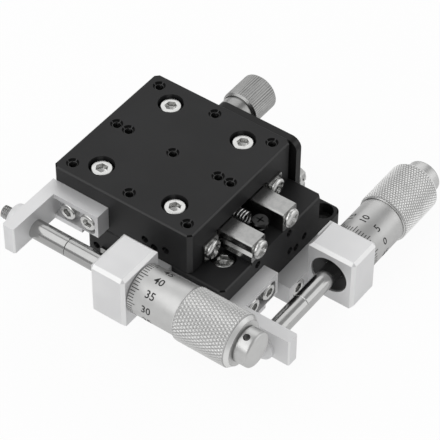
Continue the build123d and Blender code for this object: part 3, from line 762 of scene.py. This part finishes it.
for u, head in heads.items():
    start, end = GRIP_START, head.length
    knurl, columns = knurl_grid(head, end - start - GRIP_FRONT - GRIP_REAR)
    front = [(end - 0.5, GRIP_BORE), (start, GRIP_BORE), (start, GRIP_RADIUS - 0.5)]
    rear = [
        (end - 0.35, GRIP_RADIUS - 1.35), (end, GRIP_RADIUS - 1.5), (end, GRIP_BORE), (end - 0.5, GRIP_BORE),
    ]
    grid = np.concatenate([head.turned(front, columns), knurl, head.turned(rear, columns)])
    settle(skin(f"knurled_grip_{u}", *join_grids([grid]), sharp=28), f"thimble_grip_{u}")

# %% [markdown]
# A black wiper ring closes the mouth of the holder round the rod and keeps dust
# out of the barrel. It is dished: its face slopes in from the bore to the rod.

# %% Turn the wiper rings
WIPER_BORE, WIPER_LIP = 3.75, 0.5
for u, head in heads.items():
    start, end = head.behind(f"bore_ring_{u}")
    rim = np.ptp(stretch(f"bore_ring_{u}", UP)) / 2
    profile = [
        (end, WIPER_BORE), (end - WIPER_LIP, WIPER_BORE), (start + 0.9, rim - 1.3), (start + 0.2, rim - 0.6),
        (start, rim - 0.35), (start, rim), (end, rim), (end, WIPER_BORE),
    ]
    settle(skin(f"wiper_ring_{u}", *join_grids([head.turned(profile, 96)])), f"bore_ring_{u}")

# %% [markdown]
# The scale is engraved and filled with black. A turn is half a millimetre, so the
# fifty marks round the drum are hundredths, and each fifth is longer and has a
# number. Marks are thin closed bars; numbers are text made into a mesh. Both are
# wrapped on the drum: across becomes along the axis, up becomes round it.

# %% Engrave the scale
MARKS, MARK_WIDTH, MARK_START, SHORT_MARK, LONG_MARK = 50, 0.32, 0.38, 2.1, 3.1
NUMBER_FROM_FRONT, NUMBER_SIZE = 8.15, 4.0
ZERO_ANGLE = {"x": math.radians(296.4), "y": math.radians(68.8)}
PROUD = 0.012


def bars(head, start, end, angle, width, radius):
    """Closed bars along the axis, eight corners each, sunk a little below the surface."""
    start, end, angle = np.broadcast_arrays(start, end, angle)
    half = width / 2 / radius
    corner_along = np.stack([start, start, end, end], axis=-1)
    corner_angle = np.stack([angle - half, angle + half, angle + half, angle - half], axis=-1)
    top = head.place(corner_along, radius + PROUD, corner_angle)
    bottom = head.place(corner_along, radius - 3 * PROUD, corner_angle)
    points = np.concatenate([bottom, top], axis=-2)
    sides = np.array([[0, 1, 5, 4], [1, 2, 6, 5], [2, 3, 7, 6], [3, 0, 4, 7], [0, 3, 2, 1], [4, 5, 6, 7]])
    faces = (sides[None] + 8 * np.arange(len(angle))[:, None, None]).reshape(-1, 4)
    return points.reshape(-1, 3), faces


def lettering(text, size, cuts=15):
    """The points and triangles of a text in millimetres, cut across so that it bends round a drum."""
    curve = bpy.data.curves.new("lettering", "FONT")
    curve.body = text
    curve.size = size
    curve.extrude = 2 * PROUD
    curve.resolution_u = 3
    curve.offset = 0.012 * size
    curve.align_x = curve.align_y = "CENTER"
    word = shown("lettering", curve)
    graph = bpy.context.evaluated_depsgraph_get()
    mesh = bpy.data.meshes.new_from_object(word.evaluated_get(graph))
    flat = bmesh.new()
    flat.from_mesh(mesh)
    for level in np.linspace(-size / 2, size / 2, cuts):
        whole = flat.verts[:] + flat.edges[:] + flat.faces[:]
        bmesh.ops.bisect_plane(flat, geom=whole, plane_co=(0, level, 0), plane_no=(0, 1, 0))
    flat.to_mesh(mesh)
    flat.free()
    mesh.calc_loop_triangles()
    points = np.zeros(len(mesh.vertices) * 3)
    mesh.vertices.foreach_get("co", points)
    faces = np.zeros(len(mesh.loop_triangles) * 3, int)
    mesh.loop_triangles.foreach_get("vertices", faces)
    bpy.data.objects.remove(word)
    bpy.data.curves.remove(curve)
    bpy.data.meshes.remove(mesh)
    return points.reshape(-1, 3), faces.reshape(-1, 3)


def engraved(name, parts, words, head, radius, body):
    """One piece from bars and from words of (text, along, angle, size), wrapped on a drum."""
    for text, along, angle, size in words:
        letters, corners = lettering(text, size)
        x, y, z = letters.T
        parts.append((head.place(along + x, radius + z, angle - y / radius), corners))
    points, faces = merged(parts)
    mesh = bpy.data.meshes.new(name)
    mesh.from_pydata((points * MM).tolist(), [], faces)
    mesh.materials.append(enamel)
    piece = shown(name, mesh)
    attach(piece, body)
    print(name, "has", len(faces), "faces")


for u, head in heads.items():
    number = np.arange(MARKS)
    angle = ZERO_ANGLE[u] - number * 2 * np.pi / MARKS
    length = np.where(number % 5 == 0, LONG_MARK, SHORT_MARK)
    marks = bars(head, MARK_START, MARK_START + length, angle, MARK_WIDTH, THIMBLE_RADIUS)
    words = [(str(n), NUMBER_FROM_FRONT, angle[n], NUMBER_SIZE) for n in range(0, MARKS, 5)]
    engraved(f"thimble_scale_{u}", [marks], words, head, THIMBLE_RADIUS, f"thimble_body_{u}")

# %% [markdown]
# Under the thimble, the barrel carries its own scale: a line along the top and a
# tick for each half millimetre, which come into view as the thimble backs off.
# A tick bends round the barrel, so it is laid down as a row of short bars.

# %% Engrave the barrels
BARREL_RADIUS, BARREL_ZERO, LINE_START, LINE_END, LINE_WIDTH = 7.5, 0.8, 0.3, 27.0, 0.12
TICK_ANGLE, LONG_TICK, HALF_TICK, TICK_BARS, BAR_WIDTH = 0.12, 1.5, 0.05, 8, 0.24
BARREL_NUMBER_ANGLE, BARREL_NUMBER_SIZE = -0.42, 2.0
for u, head in heads.items():
    tick = np.arange(0, 26.5, 0.5)
    angle = np.where(tick % 1 == 0, -TICK_ANGLE, TICK_ANGLE) * np.where(tick % 5 == 0, LONG_TICK, 1)
    along = tick + BARREL_ZERO
    spots = [
        bars(head, along - HALF_TICK, along + HALF_TICK, angle * share, BAR_WIDTH, BARREL_RADIUS)
        for share in np.linspace(0, 1, TICK_BARS)
    ]
    spots.append(bars(head, LINE_START, LINE_END, np.zeros(1), LINE_WIDTH, BARREL_RADIUS))
    words = [(str(n), n + 0.9, BARREL_NUMBER_ANGLE, BARREL_NUMBER_SIZE) for n in range(0, 30, 5)]
    engraved(f"barrel_scale_{u}", spots, words, head, BARREL_RADIUS, CARRIER[u])

# %% [markdown]
# The return springs are extension springs with an eye at each end. Wire is a
# circle carried along a path: a ring round each post, a short neck that steps
# down, and the helix. A spring hangs between two bodies; this piece is left in
# place and is attached to neither. The turns are counted where they lie once the
# stage has run out, each moved by an eased share of the travel: there they
# touch, and drawn out they open.

# %% Wind the return springs
WIRE, COIL_RADIUS, CLOSED_PITCH, NECK, EYE = 0.4, 2.3, 0.86, 3.2, 2.15
EYE_POINTS, COIL_POINTS, NECK_POINTS = 48, 700, 14


def ease(t):
    """From 0 to 1 with a soft start and a soft end: 3 t squared less 2 t cubed."""
    return 3 * t ** 2 - 2 * t ** 3


def tube(path, reference, radius=WIRE, count=12):
    """A circle carried along a path, square to it; the reference is never along the path."""
    path = np.asarray(path)
    ahead = np.gradient(path, axis=0)
    ahead /= np.linalg.norm(ahead, axis=1, keepdims=True)
    side = np.cross(ahead, reference)
    side /= np.linalg.norm(side, axis=1, keepdims=True)
    other = np.cross(side, ahead)
    angle = circle(count)[None, :, None]
    rings = path[:, None] + radius * (np.cos(angle) * side[:, None] + np.sin(angle) * other[:, None])
    ends = [np.repeat(path[i][None, None], count, axis=1) for i in (0, -1)]
    return np.concatenate([ends[0], rings, ends[1]])


def spring_grids(u):
    """The eyes, coil and necks of one spring, the point they start from, and the eyes' middles."""
    along, across = TRAVEL[u], ACROSS[u]
    start, end = spread(*stretch(f"return_spring_{u}", along), EYE + WIRE)
    base = slid(middle(f"return_spring_{u}"), along, 0)
    grids = []
    turn = circle(EYE_POINTS)[:, None]
    for at in (start, end):
        ring = base + along * at + EYE * (np.cos(turn) * along + np.sin(turn) * across)
        grids.append(tube(np.concatenate([ring, ring[:2]]), UP))
    reach = np.linspace(start + EYE + NECK, end - EYE - NECK, COIL_POINTS)[:, None]
    share = (reach - start - EYE) / (end - start - 2 * EYE)
    travel = np.ptp(joints[f"stage_slide_{u}"]["range_m"]) / MM
    run_out = reach - travel * ease(share)
    closed = run_out - run_out[0]
    turns = round(float(closed[-1, 0]) / CLOSED_PITCH)
    phase = 2 * np.pi * turns * closed / closed[-1]
    helix = base + along * reach - COIL_RADIUS * (np.cos(phase) * UP + np.sin(phase) * across)
    grids.append(tube(helix, along))
    step = np.linspace(0, 1, NECK_POINTS)[:, None]
    for at, way in ((start + EYE, 1), (end - EYE, -1)):
        neck = base + along * (at + way * NECK * step) - UP * COIL_RADIUS * ease(step)
        grids.append(tube(neck, across))
    return grids, base, start, end


for u in units:
    grids, base, start, end = spring_grids(u)
    piece = skin(f"return_coil_{u}", *join_grids(grids))
    piece.data.materials.append(wire)
    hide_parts(f"return_spring_{u}")
    first = Vector((base + TRAVEL[u] * (start + EYE)) * MM)
    last = Vector((base + TRAVEL[u] * (end - EYE)) * MM)
    print(piece.name, "is", round(end - start, 1), "mm from eye to eye at rest")
    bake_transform(piece)

# %% [markdown]
# The lock knob is turned from bar and straight knurled: shallow grooves along
# its axis, bevelled at both ends, over a polished collar.

# %% Turn the lock knobs
KNOB_RADIUS, COLLAR_RADIUS, KNOB_GROOVE, KNOB_RIDGES = 7.45, 6.5, 0.2, 46
COLLAR_LENGTH, COLLAR_GAP, KNOB_SCREW, RIDGE_STEEPNESS = 6.1, 0.2, 2.0, 1.8


def knob_grid(length, collar_start, knurl_start):
    """Rings of (distance, radius, share of the grooves' depth) along the knob's axis."""
    rings = [
        (0, 0, 0), (0, KNOB_SCREW, 0), (collar_start, KNOB_SCREW, 0),
        (collar_start, COLLAR_RADIUS - 0.4, 0), (collar_start + 0.4, COLLAR_RADIUS, 0),
        (knurl_start - 1.1, COLLAR_RADIUS, 0), (knurl_start - 0.9, COLLAR_RADIUS - 0.35, 0),
        (knurl_start - 0.05, COLLAR_RADIUS - 0.35, 0), (knurl_start, KNOB_RADIUS - 0.8, 0),
        (knurl_start + 0.75, KNOB_RADIUS - 0.03, 0.2), (knurl_start + 1.0, KNOB_RADIUS, 1),
        (length - 1.0, KNOB_RADIUS, 1), (length - 0.75, KNOB_RADIUS - 0.03, 0.2),
        (length, KNOB_RADIUS - 0.8, 0), (length, KNOB_RADIUS - 1.6, 0),
        (length - 0.25, KNOB_RADIUS - 1.8, 0), (length - 0.25, 0, 0),
    ]
    angle = circle(KNOB_RIDGES * 8)[None, :]
    distance, radius, groove = columns_of(rings)
    ridge = np.minimum(RIDGE_STEEPNESS * triangle(angle / (2 * np.pi) * KNOB_RIDGES), 1)
    return polar(radius - KNOB_GROOVE * groove * (1 - ridge), angle, distance)


for u in units:
    axis = ACROSS[u]
    start, end = stretch(f"lock_knob_{u}", axis)
    collar = stretch(f"lock_plate_{u}", axis)[1] + COLLAR_GAP - start
    origin = slid(middle(f"lock_knob_{u}"), axis, start)
    grid = stand(knob_grid(end - start, collar, collar + COLLAR_LENGTH), origin, axis, UP)
    settle(skin(f"knurled_knob_{u}", *join_grids([grid]), sharp=30), f"lock_knob_{u}")

# %% [markdown]
# The tapped holes get their threads: a wall whose radius rises and falls with
# the distance along the hole less a turn's share of the pitch, which winds it
# into a screw. The wall is a thin sleeve inside the drilled hole.

# %% Cut the threads of the table's holes
TAP_RADIUS, TAP_PITCH, TAP_RIM, TAP_DEPTH, TAP_GROOVE = 1.65, 0.7, 0.72, 7.0, 0.22


def thread_grid(radius, depth, pitch, length, count=32, rows_per_turn=8):
    """A threaded wall: the radius less the groove's depth times a triangle wave of the screw line."""
    rows = int(length / pitch * rows_per_turn)
    distance = np.linspace(0, length, rows)[:, None]
    angle = circle(count)[None, :]
    wave = triangle(distance / pitch - angle / (2 * np.pi))
    return polar(radius - depth * wave, angle, distance)


def hole_places():
    """The table's tapped holes, from the record's bolt patterns."""
    places = []
    for mount in frame["record"]["mounts"]:
        if not mount["name"].startswith("table_") or mount["kind"] == "flat_face":
            continue
        x, y = np.array(mount["pos_m"][:2]) / MM
        wide, deep = (mount["dims"].get(f"spacing_{way}_mm", 0) / 2 for way in units)
        places += [(x + wide * i, y + deep * j) for i in (-1, 1) for j in (-1, 1)]
    return sorted(set(places))


top = box("table_plate")[1][2]
length = TAP_DEPTH - TAP_RIM
wall = thread_grid(TAP_RADIUS - 0.03, TAP_GROOVE, TAP_PITCH, length)
foot, brim = (lathe([(TAP_RADIUS - 0.005, level)], 32) for level in (0, length))
sleeve = np.concatenate([brim, foot, wall, brim])
grids = [stand(sleeve, np.array([x, y, top - TAP_DEPTH]), UP, TRAVEL["x"]) for x, y in hole_places()]
threads = skin("table_threads", *join_grids(grids), sharp=60)
threads.data.materials.append(tapped)
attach(threads, "table")
print("tapped holes:", len(grids))

# %% [markdown]
# The anvil pins end in a threaded tail with a driver's slot. The pin is a turned
# profile whose tail follows the same thread formula, and a thin box cuts the slot
# out of it.

# %% Make the anvil pins
PIN_RADIUS, PIN_THREAD, PIN_PITCH, PIN_GROOVE = 3.6, 2.5, 0.8, 0.36
SLOT_WIDTH, SLOT_DEPTH, SLOT_UP, SLOT_ACROSS, ARM_THICKNESS = 1.0, 1.2, 0.5, 0.866, 5.0


def pin_grid(length, tail):
    """The tail's end, its thread, then the stout front; distances run from the tail's end."""
    thread = thread_grid(PIN_THREAD - 0.02, PIN_GROOVE, PIN_PITCH, tail - 0.6, 64, 9) + [0, 0, 0.35]
    front = [
        (PIN_THREAD - 0.02, tail), (PIN_RADIUS, tail),
        (PIN_RADIUS, length - 0.1), (PIN_RADIUS - 0.1, length), (0, length),
    ]
    return np.concatenate([lathe([(0, 0), (PIN_THREAD - 0.7, 0)], 64), thread, lathe(front, 64)])


def cut(piece, cutter):
    """Takes the cutter's body out of the piece and throws the cutter away."""
    step = piece.modifiers.new("cut", "BOOLEAN")
    step.operation = "DIFFERENCE"
    step.solver = "EXACT"
    step.object = cutter
    graph = bpy.context.evaluated_depsgraph_get()
    mesh = bpy.data.meshes.new_from_object(piece.evaluated_get(graph))
    piece.modifiers.clear()
    piece.data = mesh
    mesh.set_sharp_from_angle(angle=math.radians(35))
    bpy.data.objects.remove(cutter)


def blade(origin, axis, side):
    """A box as wide as a driver's blade, standing in the end of a pin."""
    half = SLOT_WIDTH / 2
    corners = np.array([[x, y, z] for x in (-4, 4) for y in (-half, half) for z in (-1, SLOT_DEPTH)])
    sides = [[0, 1, 3, 2], [4, 6, 7, 5], [0, 4, 5, 1], [2, 3, 7, 6], [0, 2, 6, 4], [1, 5, 7, 3]]
    return skin("blade", stand(corners, origin, axis, side), sides)


for u in units:
    along = TRAVEL[u]
    start, end = stretch(f"anvil_pin_{u}", along)
    origin = slid(middle(f"anvil_pin_{u}"), along, start)
    tail = stretch(f"push_bracket_{u}", along)[0] + ARM_THICKNESS - start
    piece = skin(f"slotted_pin_{u}", *join_grids([stand(pin_grid(end - start, tail), origin, along, UP)]))
    cut(piece, blade(origin, along, UP * SLOT_UP + ACROSS[u] * SLOT_ACROSS))
    settle(piece, f"anvil_pin_{u}")

# %% [markdown]
# A round nut locks each pin: the upper one is thick, the lower one a thin disc.
# Each sits on the outer face of its arm, round the tail of the pin.

# %% Turn the lock nuts
NUT_RADIUS, NUT_BORE, NUT_THICKNESS = 5.4, 2.52, {"x": 4.6, "y": 1.6}
for u, head in heads.items():
    face = head.behind(f"push_bracket_{u}")[0]
    outer = face - NUT_THICKNESS[u]
    profile = [
        (face, NUT_BORE), (face, NUT_RADIUS), (outer + 0.5, NUT_RADIUS), (outer + 0.1, NUT_RADIUS - 0.2),
        (outer, NUT_RADIUS - 0.6), (outer, NUT_BORE), (face, NUT_BORE),
    ]
    piece = skin(f"lock_nut_{u}", *join_grids([head.turned(profile, 96)]))
    settle(piece, f"anvil_lock_nut_{u}", material=silver)

# %% [markdown]
# The thimble's end cap stands off the grip by a narrow groove and has a cross hole
# for a pin key. A solid drill cuts it, because no profile gives a hole's edge in
# a round side.

# %% Turn the end caps
CAP_SPIGOT, CAP_GROOVE, CAP_GROOVE_RADIUS = 2.45, 0.5, 5.9
CAP_HOLE, CAP_HOLE_DEPTH, CAP_HOLE_BACK = 1.3, 5.6, 2.5
CAP_HOLE_ANGLE = {"x": math.radians(17), "y": math.radians(197)}
for u, head in heads.items():
    start, end = head.behind(f"thimble_cap_{u}")
    base, step = head.length, head.length + CAP_GROOVE
    radius = np.ptp(stretch(f"thimble_cap_{u}", UP)) / 2
    profile = [
        (start, 0), (start, CAP_SPIGOT), (base, CAP_SPIGOT), (base, CAP_GROOVE_RADIUS),
        (step, CAP_GROOVE_RADIUS), (step, radius - 0.12), (step + 0.12, radius), (end - 0.9, radius),
        (end - 0.45, radius - 0.12), (end - 0.13, radius - 0.42), (end, radius - 0.9), (end, 0),
    ]
    piece = skin(f"end_cap_{u}", *join_grids([head.turned(profile, 128)]))
    angle = CAP_HOLE_ANGLE[u]
    out = UP * math.cos(angle) - head.across * math.sin(angle)
    bottom = head.place(base + CAP_HOLE_BACK, radius - CAP_HOLE_DEPTH, angle)
    drill = [(0, 0), (CAP_HOLE, 0), (CAP_HOLE, CAP_HOLE_DEPTH + 1), (0, CAP_HOLE_DEPTH + 1)]
    cut(piece, skin("drill", *join_grids([stand(lathe(drill, 32), bottom, out, head.along)])))
    settle(piece, f"thimble_cap_{u}", material=bright_turned[u])

# %% [markdown]
# The floor is a wide white sheet. The camera and glass see it almost pure white,
# with the object's faint shadow, and metal mirrors it bright; what lights the
# object from it is plain matt white.

# %% Lay the floor
SEEN_SHARE, MIRRORED_SHARE, FLOOR_HALF, FLOOR_LEVEL = 0.94, 0.6, 4.0, -0.0002


def floor_material():
    """Matt white, mixed with an even glow for what the camera and metal see."""
    finish = Finish("white floor", (0.92, 0.92, 0.92), 0.0, 0.9)
    glow = finish.add("ShaderNodeEmission", {}, {"Color": (1, 1, 1), "Strength": 1.0})
    camera_ray, glossy_ray, clear_ray = finish.rays("Camera", "Glossy", "Transmission")
    mirrored = glossy_ray * (1 - camera_ray) * MIRRORED_SHARE
    share = (camera_ray + clear_ray).up_to(1) * SEEN_SHARE + mirrored
    matt = Term(finish, finish.shader.outputs[0])
    mix = finish.add("ShaderNodeMixShader", {}, {0: share, 1: matt, 2: glow})
    finish.put(finish.found("OUTPUT_MATERIAL"), {0: mix})
    return finish.material


sheet = bpy.data.meshes.new("floor")
corners = [(FLOOR_HALF * x, FLOOR_HALF * y, 0) for x, y in ((-1, -1), (1, -1), (1, 1), (-1, 1))]
sheet.from_pydata(corners, [], [(0, 1, 2, 3)])
sheet.materials.append(floor_material())
floor = shown("floor", sheet)
floor.location.z = FLOOR_LEVEL
print("floor half width in metres:", FLOOR_HALF)

# %% [markdown]
# The world is the studio: white to the camera and through glass, dim to the rest,
# and a little brighter to metal, because chrome shows what stands round it.

# %% Build the studio
def studio(plain=0.43, between=0.48):
    """White to the camera; to metal the dim room between the soft boxes; plain light to the rest."""
    world = bpy.data.worlds.new("studio")
    graph = Graph(world)
    camera_ray, glossy_ray, clear_ray = graph.rays("Camera", "Glossy", "Transmission")
    room = glossy_ray * (between - plain) + plain
    level = camera_ray.at_least(clear_ray).at_least(room)
    graph.put(graph.found("BACKGROUND"), {"Color": (1, 1, 1), "Strength": level})
    bpy.context.scene.world = world
    print("studio nodes:", len(graph.tree.nodes))


studio()
scene = bpy.context.scene
scene.view_settings.view_transform = "Standard"

# %% [markdown]
# Four soft boxes stand where their reflections in the turned parts of the
# photograph say. Between them lie darker gaps, which draw the dark lines along
# the polished rods. A box's power follows from its brightness and its area.

# %% Hang the soft boxes
SOFT_BOXES = {
    "front": ((-0.41, -0.50, 0.76), 1.0, 1.0, 1.15),
    "back": ((-0.45, 0.65, 0.61), 1.0, 0.85, 0.8),
    "right": ((0.74, 0.57, 0.36), 0.9, 0.7, 0.95),
    "low": ((0.08, -0.87, 0.46), 0.5, 0.45, 1.7),
}
LIT_SPOT, BOX_DISTANCE = Vector((0, 0, 0.03)), 1.0


def soft_box(name, direction, width, height, brightness):
    """A rectangular lamp that faces the stage from a direction; its brightness is a surface's own."""
    lamp = bpy.data.lights.new(name, "AREA")
    lamp.shape = "RECTANGLE"
    lamp.size = width
    lamp.size_y = height
    lamp.energy = brightness * math.pi * width * height
    light = shown(name, lamp)
    towards = Vector(direction).normalized()
    light.location = LIT_SPOT + towards * BOX_DISTANCE
    light.rotation_mode = "QUATERNION"
    light.rotation_quaternion = (-towards).to_track_quat("-Z", "Y")
    print("soft box", name, "of", round(lamp.energy, 2), "W")


for name, settings in SOFT_BOXES.items():
    soft_box(name, *settings)
